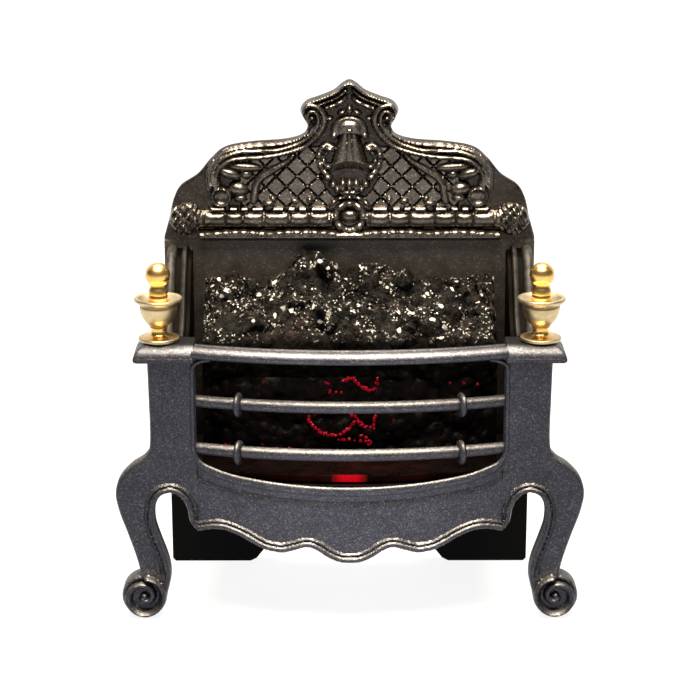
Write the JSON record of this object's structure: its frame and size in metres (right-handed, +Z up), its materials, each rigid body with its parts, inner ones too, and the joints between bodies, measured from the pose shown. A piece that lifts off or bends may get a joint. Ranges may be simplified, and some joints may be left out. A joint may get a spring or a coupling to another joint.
{
  "type": "miniature fire grate",
  "caption": "Miniature cast fire grate with bowed bars, scrolled legs, a crested fireback, turned brass finials and a lift-out glowing coal insert.",
  "frame": {"origin": "on the ground, at the middle of the width and of the depth", "axes": "+Z up, +Y towards the back of the fireback, +X to the right as seen from the front, which faces -Y"},
  "size_m": [0.0584, 0.0254, 0.0648],
  "materials": {
    "gunmetal_paint": "satin",
    "fireback_black": "satin",
    "brass": "polished",
    "ember_red": "gloss",
    "coal_black": "gloss",
    "lamp_glass": "gloss",
    "lamp_metal": "satin",
    "lamp_bush": "matte"
  },
  "bodies": {
    "grate": {"left_leg": "gunmetal_paint", "right_leg": "gunmetal_paint", "apron": "gunmetal_paint", "top_rail": "gunmetal_paint", "upper_bar": "gunmetal_paint", "lower_bar": "gunmetal_paint", "bar_collars": "gunmetal_paint", "left_cap": "gunmetal_paint", "right_cap": "gunmetal_paint", "left_cheek": "fireback_black", "right_cheek": "fireback_black", "fireback": "fireback_black", "floor_plate": "fireback_black", "left_urn": "brass", "right_urn": "brass", "left_ball": "brass", "right_ball": "brass", "lamp_clip": "lamp_metal"},
    "coal_insert": {"ember_block": "ember_red", "coal_bed": "coal_black", "coal_lumps": "coal_black"},
    "lamp": {"lamp_bulb": "lamp_glass", "lamp_holder": "lamp_metal", "lamp_gland": "lamp_bush"}
  },
  "joints": [
    {"name": "coal_lift", "type": "slide", "parent": "grate", "child": "coal_insert", "axis": [0, 0, 1], "range_m": [0, 0.05]},
    {"name": "lamp_pull", "type": "slide", "parent": "grate", "child": "lamp", "axis": [0, 1, 0], "range_m": [0, 0.016]}
  ]
}
